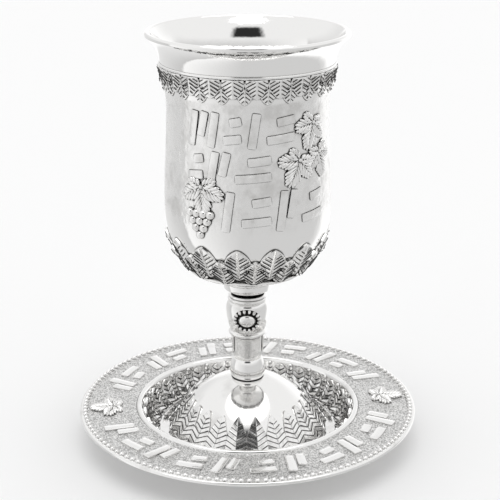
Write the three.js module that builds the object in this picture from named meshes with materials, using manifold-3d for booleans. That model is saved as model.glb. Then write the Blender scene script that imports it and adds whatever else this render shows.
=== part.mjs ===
// A kiddush cup: a cast silver goblet standing in its matching saucer.
// Millimetres, +Z up. The origin is the middle of the saucer's underside, and the front is at -Y.

import * as THREE from "three";
import { mergeVertices } from "three/addons/utils/BufferGeometryUtils.js";
import Module from "manifold-3d";

const wasm = await Module();
wasm.setup();

// ---- Driving dimensions ---------------------------------------------------------------------

const clearance = 0.3;          // left between two castings where one is screwed or stood on another
const sunk = 0.5;               // how deep a raised ornament reaches into the metal that carries it
const turnSteps = 36;           // flats round the bowl, foot and saucer
const plainSteps = 24;          // flats round their hidden and hollow sides
const stemSteps = 20;           // flats round the stem

const saucerRadius = 63.5;
const saucerFloor = 1.4;
const rimTop = 11.2;
const rimMetal = 1.3;
const beadRadius = 61.6;
const wellRing = { inner: 40.0, outer: 42.3, height: 12.0 };
const wellFoot = { radius: 33.3, base: 31.5 };

const footRadius = 29.8;
const footBase = saucerFloor + clearance;
const footEdge = 1.1;
const footWall = 1.2;
const footTop = { radius: 6.4, height: 22.3 };
const domeEdge = { radius: 21.5, height: 14.0 };

const stemBase = footTop.height + clearance;
const collar = { radius: 6.6, narrow: 5.5, height: 30.0 };
const shaft = { top: 5.9, bottom: 5.4, height: 39.8 };
const knop = { radius: 8.05, widest: 50.0, foot: 41.5, shoulder: 53.2 };
const neck = { radius: 6.1, height: 55.9 };

const bowlBase = neck.height + clearance;
const bowlSeat = { radius: 9.0, bottom: 58.5, bead: 61.5 };
const bowlDish = { radius: 21.7, height: 66.6 };
const bowlWall = 1.8;
const tuck = { radius: 20.8, height: 67.9 };
const belly = { radius: 30.0, height: 91.0 };
const waist = { radius: 28.75, height: 127.0 };
const throat = { radius: 30.9, height: 142.3 };
const lip = { radius: 35.9, height: 152.1, round: 1.1 };

const silver = { color: 0xd4d4d2, metalness: 1.0, roughness: 0.18 };
const darkSilver = { color: 0xb8b6b2, metalness: 1.0, roughness: 0.3 };

// ---- Small tools ----------------------------------------------------------------------------

const radians = THREE.MathUtils.degToRad;
const mix = THREE.MathUtils.lerp;
const spot = (radius, height) => new THREE.Vector2(radius, height);

// A point at an angle from the front, turning towards +X.
function around(angle, radius, height) {
  const turn = radians(angle);
  return new THREE.Vector3(radius * Math.sin(turn), -radius * Math.cos(turn), height);
}

// A smooth outline through a few points.
const smooth = (points, steps) => new THREE.SplineCurve(points).getPoints(steps);

// The same outline moved sideways by a distance, to the left of its direction.
function beside(outline, distance) {
  return outline.map((point, index) => {
    const before = outline[Math.max(index - 1, 0)];
    const after = outline[Math.min(index + 1, outline.length - 1)];
    const along = after.clone().sub(before).normalize();
    return spot(point.x - along.y * distance, point.y + along.x * distance);
  });
}

// A geometry with its shared corners merged, empty triangles dropped and its faces pointing out.
function closedGeometry(geometry) {
  const bare = geometry.clone();
  bare.deleteAttribute("normal");
  bare.deleteAttribute("uv");
  const merged = mergeVertices(bare, 1e-5);
  const position = merged.getAttribute("position");
  const corner = [new THREE.Vector3(), new THREE.Vector3(), new THREE.Vector3()];
  const kept = [];
  let volume = 0;
  for (let start = 0; start < merged.index.count; start += 3) {
    const [a, b, c] = [0, 1, 2].map((step) => merged.index.getX(start + step));
    if (a === b || b === c || c === a) continue;
    kept.push(a, b, c);
    corner[0].fromBufferAttribute(position, a);
    corner[1].fromBufferAttribute(position, b);
    corner[2].fromBufferAttribute(position, c);
    volume += corner[0].dot(corner[1].cross(corner[2]));
  }
  merged.setIndex(volume > 0 ? kept : kept.reverse());
  return merged;
}

function solid(geometry) {
  const closed = closedGeometry(geometry);
  return new wasm.Manifold(new wasm.Mesh({
    numProp: 3,
    vertProperties: Float32Array.from(closed.getAttribute("position").array),
    triVerts: Uint32Array.from(closed.index.array),
  }));
}

function geometryOf(manifold) {
  const mesh = manifold.getMesh();
  const geometry = new THREE.BufferGeometry();
  geometry.setAttribute("position", new THREE.BufferAttribute(mesh.vertProperties, 3));
  geometry.setIndex(new THREE.BufferAttribute(mesh.triVerts, 1));
  geometry.computeVertexNormals();
  return geometry;
}

const joined = (body, extras) => extras.reduce((whole, extra) => whole.add(solid(extra)), body);

// A ring of points round Z, evenly spaced, through one point of an outline.
function plainRing(point, steps = turnSteps) {
  return Array.from({ length: steps }, (_, step) => ({
    share: step / steps,
    position: around((360 * step) / steps, point.x, point.y),
  }));
}

const plainRings = (outline, steps) => outline.map((point) => plainRing(point, steps));

// A closed skin through rings of points about Z, from a point on the axis to another. Two rings
// with different numbers of points are joined like the two sides of a zip.
function ringSolid(start, rings, end) {
  const corners = [start, ...rings.flat().map((point) => point.position), end];
  const positions = corners.flatMap((corner) => corner.toArray());
  const index = [];
  let first = 1;
  rings[0].forEach((_, step) => index.push(0, 1 + ((step + 1) % rings[0].length), 1 + step));
  for (let ring = 0; ring + 1 < rings.length; ring += 1) {
    const [low, high] = [rings[ring], rings[ring + 1]];
    const second = first + low.length;
    const shareAfter = (points, step) => {
      const wrapped = step + 1 >= points.length ? 1 : 0;
      return points[(step + 1) % points.length].share + wrapped;
    };
    let [a, b] = [0, 0];
    while (a < low.length || b < high.length) {
      const lowPoint = first + (a % low.length);
      const highPoint = second + (b % high.length);
      const takeLow = b >= high.length || (a < low.length && shareAfter(low, a) <= shareAfter(high, b));
      if (takeLow) {
        a += 1;
        index.push(lowPoint, first + (a % low.length), highPoint);
      } else {
        b += 1;
        index.push(lowPoint, second + (b % high.length), highPoint);
      }
    }
    first = second;
  }
  const last = positions.length / 3 - 1;
  const top = rings.at(-1);
  top.forEach((_, step) => index.push(last, first + step, first + ((step + 1) % top.length)));
  const geometry = new THREE.BufferGeometry();
  geometry.setAttribute("position", new THREE.Float32BufferAttribute(positions, 3));
  geometry.setIndex(index);
  return solid(geometry);
}

// A closed skin over a grid of points, with an outer and an inner sheet. A ring joins its last
// column to its first.
function gridSolid(columns, rows, point, ring = false) {
  const across = ring ? columns : columns + 1;
  const positions = [];
  for (const side of [1, 0]) {
    for (let row = 0; row <= rows; row += 1) {
      for (let column = 0; column < across; column += 1) {
        positions.push(...point(column / columns, row / rows, side).toArray());
      }
    }
  }
  const sheet = across * (rows + 1);
  const at = (column, row, side) => (1 - side) * sheet + row * across + (column % across);
  const index = [];
  const quad = (a, b, c, d) => index.push(a, b, c, a, c, d);
  for (let column = 0; column < columns; column += 1) {
    for (let row = 0; row < rows; row += 1) {
      quad(at(column, row, 1), at(column + 1, row, 1), at(column + 1, row + 1, 1), at(column, row + 1, 1));
      quad(at(column, row + 1, 0), at(column + 1, row + 1, 0), at(column + 1, row, 0), at(column, row, 0));
    }
    quad(at(column, 0, 0), at(column + 1, 0, 0), at(column + 1, 0, 1), at(column, 0, 1));
    quad(at(column, rows, 1), at(column + 1, rows, 1), at(column + 1, rows, 0), at(column, rows, 0));
  }
  for (let row = 0; row < rows && !ring; row += 1) {
    quad(at(0, row, 1), at(0, row + 1, 1), at(0, row + 1, 0), at(0, row, 0));
    quad(at(columns, row, 0), at(columns, row + 1, 0), at(columns, row + 1, 1), at(columns, row, 1));
  }
  const geometry = new THREE.BufferGeometry();
  geometry.setAttribute("position", new THREE.Float32BufferAttribute(positions, 3));
  geometry.setIndex(index);
  return geometry;
}

// A face to carve on: gives the point at an angle and a distance along an outline, lifted off it.
// The outline runs from its low or inner end, and the distance is a height, or a radius if flat.
function face(outline, flat = false) {
  const key = (point) => (flat ? point.x : point.y);
  return (angle, distance, lift) => {
    let index = 0;
    while (index < outline.length - 2 && key(outline[index + 1]) < distance) index += 1;
    const [low, high] = [outline[index], outline[index + 1]];
    const share = (distance - key(low)) / (key(high) - key(low));
    const middle = low.clone().lerp(high, share);
    const along = high.clone().sub(low).normalize();
    const out = flat ? spot(-along.y, along.x) : spot(along.y, -along.x);
    return around(angle, middle.x + out.x * lift, middle.y + out.y * lift);
  };
}

// ---- Ornament -------------------------------------------------------------------------------

// The rings of points of a band of leaves, from root to tip. Tall leaves have a raised midrib, and
// short ones fill in behind them; split is the share of the pitch that a tall leaf takes. Stops are
// the places from midrib (0) to midrib (1) that get a point.
function leafBand(on, band) {
  const { count, phase = 0, root, tip, back = tip, notch, rise, edge, split = 0.7, stops, steps } = band;
  const leafAt = (across) => {
    const tall = across <= split;
    const side = tall ? across / split : (1 - across) / (1 - split);
    return {
      end: mix(tall ? tip : back, notch, side ** 1.6),
      lift: mix(tall ? rise : 0.65 * rise, edge, side ** 1.3),
    };
  };
  const ring = (places, along, raised) => {
    const points = [];
    for (let leaf = 0; leaf < count; leaf += 1) {
      const left = places.filter((place) => place > 0 && place < 1).map((place) => -place);
      const both = [...places, ...left];
      both.forEach((place) => {
        const { end, lift } = leafAt(Math.abs(place));
        const turn = (leaf + place / 2) / count + phase / 360;
        const share = turn - Math.floor(turn);
        const height = raised * lift * (1 - 0.3 * along);
        points.push({ share, position: on(360 * share, mix(root, end, along), height) });
      });
    }
    return points.sort((a, b) => a.share - b.share);
  };
  const few = [0, 1];
  const rings = [ring(few, 0, 0), ring(few, 0, 1)];
  const some = [...new Set([0, split, 1])];
  for (let step = 1; step < steps; step += 1) {
    rings.push(ring(some, step / steps, 1));
  }
  return [...rings, ring(stops, 1, 1), ring(stops, 1, 0)];
}

// A straight stroke on a face, from one end to the other.
function stroke(on, perDegree, from, to, width, rise) {
  const [dx, dz] = [to.x - from.x, to.y - from.y];
  const length = Math.hypot(dx, dz);
  const pieces = Math.abs(dx / perDegree) > 14 ? 2 : 1;
  const point = (along, across, side) => {
    const offset = (across - 0.5) * width;
    const x = mix(from.x, to.x, along) - (offset * dz) / length;
    const y = mix(from.y, to.y, along) + (offset * dx) / length;
    return on(x / perDegree, y, side ? rise : -sunk);
  };
  return gridSolid(pieces, 1, point);
}

// A vine leaf: a fan of five lobes round a raised middle, pointing along heading.
function vineLeaf(on, perDegree, middle, size, heading, rise) {
  const reach = (turn) => size * (0.87 + 0.13 * Math.cos(5 * turn)) * (0.93 + 0.07 * Math.cos(turn));
  const point = (share, along, side) => {
    const turn = 2 * Math.PI * share;
    const far = along * reach(turn);
    const x = middle.x + far * Math.sin(turn + heading);
    const y = middle.y + far * Math.cos(turn + heading);
    return on(x / perDegree, y, side ? mix(rise, rise * 0.45, along) : -sunk);
  };
  return gridSolid(10, 1, point, true);
}

// ---- Bowl -----------------------------------------------------------------------------------

// Outside radius of the plain wall at a height: a tucked-in base, a full belly and a slight waist.
function bowlRadius(height) {
  if (height < belly.height) {
    const down = (belly.height - height) / (belly.height - tuck.height);
    return belly.radius - (belly.radius - tuck.radius) * down ** 2.5;
  }
  if (height < waist.height) {
    const up = (height - belly.height) / (waist.height - belly.height);
    return mix(belly.radius, waist.radius, (1 - Math.cos(Math.PI * up)) / 2);
  }
  const up = (height - waist.height) / (throat.height - waist.height);
  return mix(waist.radius, throat.radius - 0.5, up ** 1.6);
}

// The outside of the plain wall, from the tuck above the dish up to the throat.
const wallHeights = [tuck.height, 70, 73.5, 78, 83.5, 91, 109, 127, 131.6, 136.5, throat.height - 1];
const bowlSide = wallHeights.map((height) => spot(bowlRadius(height), height));

function bowlBody() {
  const on = face(bowlSide);
  const lowerBand = leafBand(on, {
    count: 14,
    root: 68,
    tip: 76,
    back: 82,
    notch: 74,
    rise: 1.3,
    edge: 0.35,
    split: 0.4,
    stops: [0, 0.4, 0.7, 1],
    steps: 2,
  });
  const upperBand = leafBand(on, {
    count: 24,
    root: 141,
    tip: 135.1,
    back: 133,
    notch: 137,
    rise: 1.15,
    edge: 0.3,
    split: 0.62,
    stops: [0, 0.62, 1],
    steps: 1,
  }).reverse();
  const between = bowlSide.filter((point) => point.y > 83 && point.y < 132);
  const seat = [
    spot(neck.radius, bowlBase),
    spot(bowlSeat.radius, bowlSeat.bottom),
    spot(bowlSeat.radius - 0.2, bowlSeat.bead - 0.6),
    spot(bowlSeat.radius + 0.6, bowlSeat.bead),
    spot(bowlDish.radius - 0.5, bowlDish.height - 0.4),
    spot(bowlDish.radius, bowlDish.height),
    spot(bowlDish.radius - 0.3, bowlDish.height + 0.9),
  ];
  const ring = [spot(throat.radius + 0.35, throat.height - 0.2), spot(throat.radius, throat.height + 0.5)];
  const flare = new THREE.QuadraticBezierCurve(
    ring[1],
    spot(throat.radius + 0.5, throat.height + 5),
    spot(lip.radius - 0.1, lip.height - 0.8),
  ).getPoints(3);
  const lipRound = [20, 90, 160].map((angle) => spot(
    lip.radius - lip.round + lip.round * Math.cos(radians(angle)),
    lip.height + lip.round * Math.sin(radians(angle)),
  ));
  const innerHeights = [throat.height, waist.height, belly.height, 80, 72];
  const innerWall = beside(innerHeights.map((height) => spot(bowlRadius(height), height)), -bowlWall);
  const floor = new THREE.QuadraticBezierCurve(innerWall.at(-1), spot(18, 63), spot(0, 63)).getPoints(2);
  return ringSolid(around(0, 0, bowlBase), [
    ...plainRings(seat),
    ...lowerBand,
    ...plainRings(between),
    ...upperBand,
    ...plainRings([...ring, ...flare.slice(1), ...lipRound]),
    ...plainRings([...beside(flare, bowlWall).reverse().slice(1, -1), ...innerWall], plainSteps),
    ...plainRings(floor.slice(1, -1), plainSteps),
  ], around(0, 0, floor.at(-1).y));
}

// Raised ornament on the wall: strokes in place of the inscription, grapes and vine leaves.
const wallDegree = radians(29.3);
const scriptRows = [
  { low: 118, high: 130, start: -48.5, widths: [23, 12, 10, 20], gap: 3.6 },
  { low: 105, high: 116.5, start: -48.5, widths: [12, 16, 24], gap: 3.3 },
  { low: 89, high: 103, start: -23.5, widths: [10, 19.5, 15, 20], gap: 4 },
];

// How a cell's strokes stand: their slant, the room that each upright takes in its own
// thicknesses, and the share that is cut off every second one.
const strokeStyle = { uprightLean: 0.9, levelLean: 0.4, room: 1.7, uprightCut: 0.3, levelCut: 0.35 };

const scriptStroke = { thickness: 2.5, rise: 0.45 };

// The strokes of one cell: leaning uprights in one cell, two level ones in the next.
function cellStrokes(on, perDegree, cell, turnOver, thickness, rise) {
  const width = (cell.to - cell.from) * perDegree;
  const tall = cell.high - cell.low;
  const start = cell.from * perDegree;
  const strokes = [];
  const add = (from, to) => strokes.push(stroke(on, perDegree, from, to, thickness, rise));
  if (turnOver) {
    [0.25, 0.75].forEach((share, line) => {
      const height = cell.low + tall * share;
      const left = start + line * strokeStyle.levelCut * width;
      add(spot(left, height - strokeStyle.levelLean), spot(start + width, height + strokeStyle.levelLean));
    });
    return strokes;
  }
  const count = Math.max(1, Math.round(width / (strokeStyle.room * thickness)));
  for (let line = 0; line < count; line += 1) {
    const place = start + (width * (line + 0.5)) / count;
    const low = cell.low + (line % 2) * strokeStyle.uprightCut * tall;
    add(spot(place - strokeStyle.uprightLean, low), spot(place + strokeStyle.uprightLean, cell.high));
  }
  return strokes;
}

function scriptOnBowl(on) {
  return scriptRows.flatMap((row, index) => {
    let from = row.start;
    return row.widths.flatMap((width, cell) => {
      const place = { from, to: from + width, low: row.low, high: row.high };
      from += width + row.gap;
      const turnOver = (cell + index) % 2 === 1;
      return cellStrokes(on, wallDegree, place, turnOver, scriptStroke.thickness, scriptStroke.rise);
    });
  });
}

const grape = { radius: 1.45, pitch: 2.55 };
const leafRise = 1.3;
const cluster = { angle: -38.3, top: 94.4, rows: [[-3.7, 3.7], [-2.7, 0, 2.7], [-1.4, 1.4], [0]] };

function grapesOn(on) {
  return cluster.rows.flatMap((row, line) => row.map((across) => {
    const middle = on(cluster.angle + across / wallDegree, cluster.top - line * grape.pitch, 0.5);
    return new THREE.IcosahedronGeometry(grape.radius, 0).translate(middle.x, middle.y, middle.z);
  }));
}

const wallLeaves = [
  { angle: -37, height: 103, size: 8.2, heading: Math.PI },
  { angle: 43, height: 124, size: 7.6, heading: Math.PI * 1.08 },
  { angle: 30.5, height: 112, size: 7.4, heading: Math.PI * 1.25 },
  { angle: 49.5, height: 112.5, size: 7.4, heading: Math.PI * 0.86 },
];

function bowlMesh() {
  const on = face(bowlSide);
  const extras = [
    ...scriptOnBowl(on),
    ...grapesOn(on),
    ...wallLeaves.map(({ angle, height, size, heading }) => (
      vineLeaf(on, wallDegree, spot(angle * wallDegree, height), size, heading, leafRise)
    )),
  ];
  return geometryOf(joined(bowlBody(), extras));
}

// ---- Stem -----------------------------------------------------------------------------------

// Three round-bottomed panels sunk in the shaft, as rings of points from the foot of the shaft up.
const panel = { count: 3, half: 50, top: 38.6, bottom: 31.3, deep: 0.5, stops: [0, 0.45, 0.85, 1] };

function panelRings() {
  const shaftRadius = (height) => mix(
    shaft.bottom,
    shaft.top,
    (height - collar.height) / (shaft.height - collar.height),
  );
  const ring = (atTop, deep) => {
    const points = [];
    for (let turn = 0; turn < panel.count; turn += 1) {
      [...panel.stops, ...panel.stops.slice(1).map((stop) => -stop)].forEach((stop) => {
        const round = 5.5 * (1 - Math.sqrt(1 - 0.96 * stop * stop));
        const height = atTop ? panel.top : panel.bottom + round;
        const sink = Math.abs(stop) < 1 ? deep : 0;
        const share = (((turn * 360) / panel.count + stop * panel.half) / 360 + 1) % 1;
        points.push({ share, position: around(360 * share, shaftRadius(height) - sink, height) });
      });
    }
    return points.sort((one, other) => one.share - other.share);
  };
  return [ring(false, 0), ring(false, panel.deep), ring(true, panel.deep), ring(true, 0)];
}

// The knop's outline, from the ring under it up to the neck.
const knopOutline = [
  spot(7.0, shaft.height + 0.8),
  spot(6.9, knop.foot),
  ...smooth([
    spot(knop.radius - 1.55, knop.foot + 0.3),
    spot(knop.radius - 0.55, 45.6),
    spot(knop.radius, knop.widest),
    spot(knop.radius - 1.1, knop.shoulder),
  ], 5),
  spot(7.4, knop.shoulder + 0.9),
  spot(6.9, knop.shoulder + 1.6),
  spot(7.15, knop.shoulder + 2.1),
  spot(neck.radius, neck.height),
];

function stemBody() {
  const barrel = new THREE.QuadraticBezierCurve(
    spot(collar.radius - 0.3, stemBase + 0.6),
    spot(collar.radius + 0.5, 27),
    spot(collar.narrow, collar.height),
  ).getPoints(3);
  const lower = [spot(collar.radius - 0.7, stemBase), ...barrel, spot(shaft.bottom, collar.height + 0.2)];
  const upper = [spot(shaft.top, shaft.height), ...knopOutline];
  return ringSolid(around(0, 0, stemBase), [
    ...plainRings(lower, stemSteps),
    ...panelRings(),
    ...plainRings(upper, stemSteps),
  ], around(0, 0, neck.height));
}

// An oval cabochon in a ring of beads on the knop, as one fan from its middle out to its edge.
const medallion = { turn: -7.5, height: 47.4, wide: 3.1, tall: 2.45, proud: 1.1, beads: 16, bead: 0.75 };
const medallionRows = [
  { reach: -1, lift: medallion.proud },
  { reach: -0.25, lift: 0.75 * medallion.proud },
  { reach: 0.1, lift: 0.15 },
  { reach: 0.9, lift: 0.25 },
  { reach: 1.9, lift: -0.15 },
];

function medallionOn(on, turn) {
  const point = (share, along, side) => {
    const row = Math.round(along * (medallionRows.length - 1));
    const { reach, lift } = medallionRows[row];
    const beadCrest = row === 3 && Math.round(share * 2 * medallion.beads) % 2 === 0;
    const inside = reach < 0 ? 1 + reach : 1;
    const beyond = Math.max(reach, 0);
    const place = 2 * Math.PI * share;
    const across = (medallion.wide * inside + beyond) * Math.cos(place);
    const up = (medallion.tall * inside + beyond) * Math.sin(place);
    const height = side ? lift + (beadCrest ? medallion.bead - lift : 0) : -sunk;
    return on(turn + THREE.MathUtils.radToDeg(across / knop.radius), medallion.height + up, height);
  };
  return gridSolid(2 * medallion.beads, medallionRows.length - 1, point, true);
}

function stemMesh() {
  const on = face(knopOutline);
  return geometryOf(joined(stemBody(), [0, 180].map((side) => medallionOn(on, medallion.turn + side))));
}

// ---- Foot -----------------------------------------------------------------------------------

function footMesh() {
  const dome = new THREE.CubicBezierCurve(
    spot(footTop.radius, footTop.height),
    spot(15, 20.4),
    spot(25, 12),
    spot(footRadius - 0.6, footBase + footEdge + 0.2),
  ).getPoints(7);
  const on = face([...dome].reverse());
  const leaves = leafBand(on, {
    count: 22,
    phase: 1.9,
    root: footBase + footEdge + 0.6,
    tip: domeEdge.height + 0.4,
    notch: 11.2,
    rise: 1.1,
    edge: 0.25,
    split: 1,
    stops: [0, 0.5, 1],
    steps: 2,
  }).reverse();
  const bare = dome.filter((point) => point.x < domeEdge.radius - 1.5);
  const hollow = beside(dome, -footWall).reverse();
  const rings = [
    ...plainRings(bare),
    ...leaves,
    ...plainRings([spot(footRadius, footBase + footEdge), spot(footRadius, footBase)]),
    ...plainRings([spot(hollow[0].x - 0.4, footBase)], plainSteps),
    ...plainRings(hollow.filter((_, index) => index % 2 === 1), plainSteps),
  ];
  const crown = around(0, 0, footTop.height);
  return geometryOf(ringSolid(crown, rings, around(0, 0, footTop.height - 2 * footWall)));
}

// ---- Saucer ---------------------------------------------------------------------------------

const rimLeaf = { radius: 50.5, size: 7, heading: 0, rise: 1.0 };
const rimCells = { count: 11, span: 150, inner: 46.4, outer: 57.2, thickness: 2.6, rise: 0.5 };

function scriptOnRim(on) {
  const perDegree = radians((rimCells.inner + rimCells.outer) / 2);
  const pitch = rimCells.span / rimCells.count;
  return [0, 180].flatMap((side) => Array.from({ length: rimCells.count }, (_, index) => {
    const middle = side + (index - (rimCells.count - 1) / 2) * pitch;
    const half = 0.36 * pitch;
    const cell = { from: middle - half, to: middle + half, low: rimCells.inner, high: rimCells.outer };
    return cellStrokes(on, perDegree, cell, index % 2 === 1, rimCells.thickness, rimCells.rise);
  }).flat());
}

function saucerMesh() {
  const well = new THREE.QuadraticBezierCurve(
    spot(wellFoot.radius, saucerFloor),
    spot(37.8, 2.6),
    spot(wellRing.inner, rimTop),
  ).getPoints(5);
  const under = beside(well, -rimMetal).reverse();
  const rim = [
    well.at(-1),
    spot(41.1, wellRing.height),
    spot(wellRing.outer, rimTop),
    spot(beadRadius - 1.2, rimTop),
    spot(beadRadius - 0.7, rimTop + 0.8),
    spot(beadRadius + 0.6, rimTop + 0.8),
    spot(beadRadius + 1.0, rimTop + 0.2),
    spot(saucerRadius, rimTop - 0.1),
    spot(saucerRadius, rimTop - 0.7),
    spot(beadRadius + 0.8, rimTop - rimMetal),
  ];
  const underside = [
    spot(wellRing.outer + 0.4, rimTop - rimMetal),
    ...under.slice(1, -1).filter((_, index) => index % 2 === 0),
    spot(wellFoot.base + 1.2, 0.15),
    spot(wellFoot.base, 0),
  ];
  const leaves = leafBand(face(well), {
    count: 28,
    root: saucerFloor + 0.2,
    tip: 10.2,
    back: 10.6,
    notch: 7.8,
    rise: 1.1,
    edge: 0.3,
    stops: [0, 0.7, 1],
    steps: 2,
  });
  const rings = [
    plainRing(well[0], plainSteps),
    ...leaves,
    ...plainRings(rim),
    ...plainRings(underside, plainSteps),
  ];
  const body = ringSolid(around(0, 0, saucerFloor), rings, around(0, 0, 0));
  const onRim = face([spot(wellRing.outer, rimTop), spot(beadRadius, rimTop)], true);
  const rimDegree = radians(51);
  const extras = [
    ...scriptOnRim(onRim),
    ...[90, 270].map((angle) => {
      const middle = spot(angle * rimDegree, rimLeaf.radius);
      return vineLeaf(onRim, rimDegree, middle, rimLeaf.size, rimLeaf.heading, rimLeaf.rise);
    }),
  ];
  return geometryOf(joined(body, extras));
}

// ---- The whole object -----------------------------------------------------------------------

function casting(name, geometry, finish) {
  const mesh = new THREE.Mesh(geometry, new THREE.MeshStandardMaterial(finish));
  mesh.name = name;
  return mesh;
}

const cup = new THREE.Group();
cup.add(casting("bowl", bowlMesh(), silver));
cup.add(casting("stem", stemMesh(), darkSilver));
cup.add(casting("foot", footMesh(), silver));

const object = new THREE.Group();
object.add(casting("saucer", saucerMesh(), silver));
object.add(cup);

export default object;
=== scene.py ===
# %% [markdown]
# # A silver kiddush cup in its saucer
# A cast goblet stands in a matching saucer. The wide surfaces are polished like a mirror, and the
# bands of leaves, the grapes and the stippled rim are oxidised: their hollows stay black when the
# tops are buffed. Most of the look is therefore the contrast of bright metal and black grooves,
# and every groove is cut in the mesh here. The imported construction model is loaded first, because
# every piece takes its place from it.

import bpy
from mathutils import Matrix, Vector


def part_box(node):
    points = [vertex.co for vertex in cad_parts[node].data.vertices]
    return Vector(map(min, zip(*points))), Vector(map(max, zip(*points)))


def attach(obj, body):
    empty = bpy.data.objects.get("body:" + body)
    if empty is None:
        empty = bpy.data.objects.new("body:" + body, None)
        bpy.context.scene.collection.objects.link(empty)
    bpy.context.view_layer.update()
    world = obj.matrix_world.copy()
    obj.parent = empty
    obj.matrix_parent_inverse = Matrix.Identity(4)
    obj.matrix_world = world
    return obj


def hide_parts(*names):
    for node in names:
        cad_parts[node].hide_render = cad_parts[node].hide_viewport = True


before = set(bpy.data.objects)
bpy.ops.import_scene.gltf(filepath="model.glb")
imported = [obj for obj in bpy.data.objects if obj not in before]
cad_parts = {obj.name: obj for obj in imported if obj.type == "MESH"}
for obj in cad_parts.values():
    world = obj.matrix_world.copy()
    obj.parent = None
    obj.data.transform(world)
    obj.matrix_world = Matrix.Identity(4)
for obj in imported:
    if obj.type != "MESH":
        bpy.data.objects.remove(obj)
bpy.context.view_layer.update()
print("nodes:", sorted(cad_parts))

# %% [markdown]
# ## The bench
# A leaf groove is a tenth of a millimetre deep, and Blender's tools merge and cut with distances
# of about that size. So each piece is worked a thousand times over, one Blender metre for one
# millimetre, and is brought down to its real size when it is finished. Sizes below are therefore
# plain millimetres.

# %% Units, and the sizes that the frame gives
import math
from contextlib import contextmanager
from itertools import pairwise

import bmesh
import bpy
import numpy as np
from mathutils import Vector

MM = 0.001
BOX = {node: [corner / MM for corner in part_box(node)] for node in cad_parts}
SAUCER_EDGE = BOX["saucer"][1].x
LIP_TOP = BOX["bowl"][1].z
BOWL_FOOT = BOX["bowl"][0].z
STEM_FOOT, STEM_TOP = BOX["stem"][0].z, BOX["stem"][1].z
FOOT_EDGE = BOX["foot"][1].x
FOOT_BASE, FOOT_TOP = BOX["foot"][0].z, BOX["foot"][1].z
print(f"saucer {2 * SAUCER_EDGE:.1f} mm across, cup up to {LIP_TOP:.1f} mm")

# %% [markdown]
# An operator works on everything that is selected. So a piece is put on the bench alone, and its
# corners, edges or faces are picked in code, by where they are.

# %% Put one piece on the bench, and pick parts of it
def alone(piece):
    bpy.ops.object.select_all(action="DESELECT")
    piece.select_set(True)
    bpy.context.view_layer.objects.active = piece


@contextmanager
def bench(piece, parts="FACE"):
    alone(piece)
    bpy.ops.object.mode_set(mode="EDIT")
    bpy.ops.mesh.select_mode(type=parts)
    yield
    bpy.ops.object.mode_set(mode="OBJECT")


def pick(piece, test, parts="faces"):
    bpy.ops.mesh.select_all(action="DESELECT")
    shape = bmesh.from_edit_mesh(piece.data)
    for part in getattr(shape, parts):
        corners = [part] if parts == "verts" else part.verts
        middle = sum((corner.co for corner in corners), Vector()) / len(corners)
        if not part.hide and test(middle):
            part.select_set(True)
    bmesh.update_edit_mesh(piece.data)


def pick_all():
    bpy.ops.mesh.select_all(action="SELECT")


def moved(across=0, up=0, out=0):
    bpy.ops.transform.translate(value=(across, up, out))


def scaled(across=1, up=1, out=1, about=(0, 0, 0)):
    bpy.ops.transform.resize(value=(across, up, out), center_override=about)


def rotated(turn, about=(0, 0, 0)):
    bpy.ops.transform.rotate(value=-turn, orient_axis="Z", center_override=about)


def modified(piece, kind, **settings):
    alone(piece)
    modifier = piece.modifiers.new(kind.title(), kind)
    for name, value in settings.items():
        setattr(modifier, name, value)
    bpy.ops.object.modifier_apply(modifier=modifier.name)
    return piece


def copied(piece):
    alone(piece)
    bpy.ops.object.duplicate(linked=False)
    return bpy.context.object


def joined(name, pieces):
    bpy.ops.object.select_all(action="DESELECT")
    for piece in pieces:
        piece.select_set(True)
    bpy.context.view_layer.objects.active = pieces[0]
    bpy.ops.object.join()
    pieces[0].name = name
    return pieces[0]


def added(primitive, name, **settings):
    bpy.ops.object.select_all(action="DESELECT")
    getattr(bpy.ops.mesh, f"primitive_{primitive}_add")(**settings)
    piece = bpy.context.object
    piece.name = name
    return piece


# %% [markdown]
# ## Outlines
# Every casting here was turned or cast from a turned pattern, so it is an outline spun about the
# cup's axis. The outline is drawn as a person would draw it: one corner, pulled out again and
# again to the next point. Its round stretches are arcs and Bezier curves.

# %% Draw a line, and turn it on the lathe
LATHE_STEPS = 192
WELD = 1e-4


def arc(middle, radius, start, end, steps=8):
    turns = [math.radians(start + (end - start) * step / steps) for step in range(steps + 1)]
    return [(middle[0] + radius * math.cos(turn), middle[1] + radius * math.sin(turn)) for turn in turns]


def curve(start, *handles, end, steps=12):
    """A Bezier curve with one handle or two."""
    points = [start, *handles, end]
    degree = len(points) - 1
    shares = [step / steps for step in range(steps + 1)]
    return [
        tuple(
            sum(
                math.comb(degree, index) * share**index * (1 - share) ** (degree - index) * point[axis]
                for index, point in enumerate(points)
            )
            for axis in (0, 1)
        )
        for share in shares
    ]


def drawn(name, points, closed=False):
    corners = [Vector(point) for point in points]
    piece = added("plane", name, size=1)
    with bench(piece, "VERT"):
        bpy.ops.mesh.merge(type="CENTER")
        bpy.ops.transform.translate(value=corners[0])
        for before, corner in pairwise(corners):
            bpy.ops.mesh.extrude_region_move(TRANSFORM_OT_translate={"value": corner - before})
        if closed:
            bpy.ops.mesh.extrude_region_move(TRANSFORM_OT_translate={"value": corners[0] - corners[-1]})
            pick_all()
            bpy.ops.mesh.remove_doubles(threshold=WELD)
            bpy.ops.mesh.edge_face_add()
    return piece


def turned(name, outline, steps=LATHE_STEPS, closed=False):
    rows = outline + outline[:1] if closed else outline
    piece = drawn(name, [(radius, 0, height) for radius, height in rows])
    with bench(piece, "VERT"):
        pick_all()
        bpy.ops.mesh.spin(steps=steps, angle=2 * math.pi, center=(0, 0, 0), axis=(0, 0, 1))
        pick_all()
        bpy.ops.mesh.remove_doubles(threshold=WELD)
        bpy.ops.mesh.normals_make_consistent(inside=False)
    return piece


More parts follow.
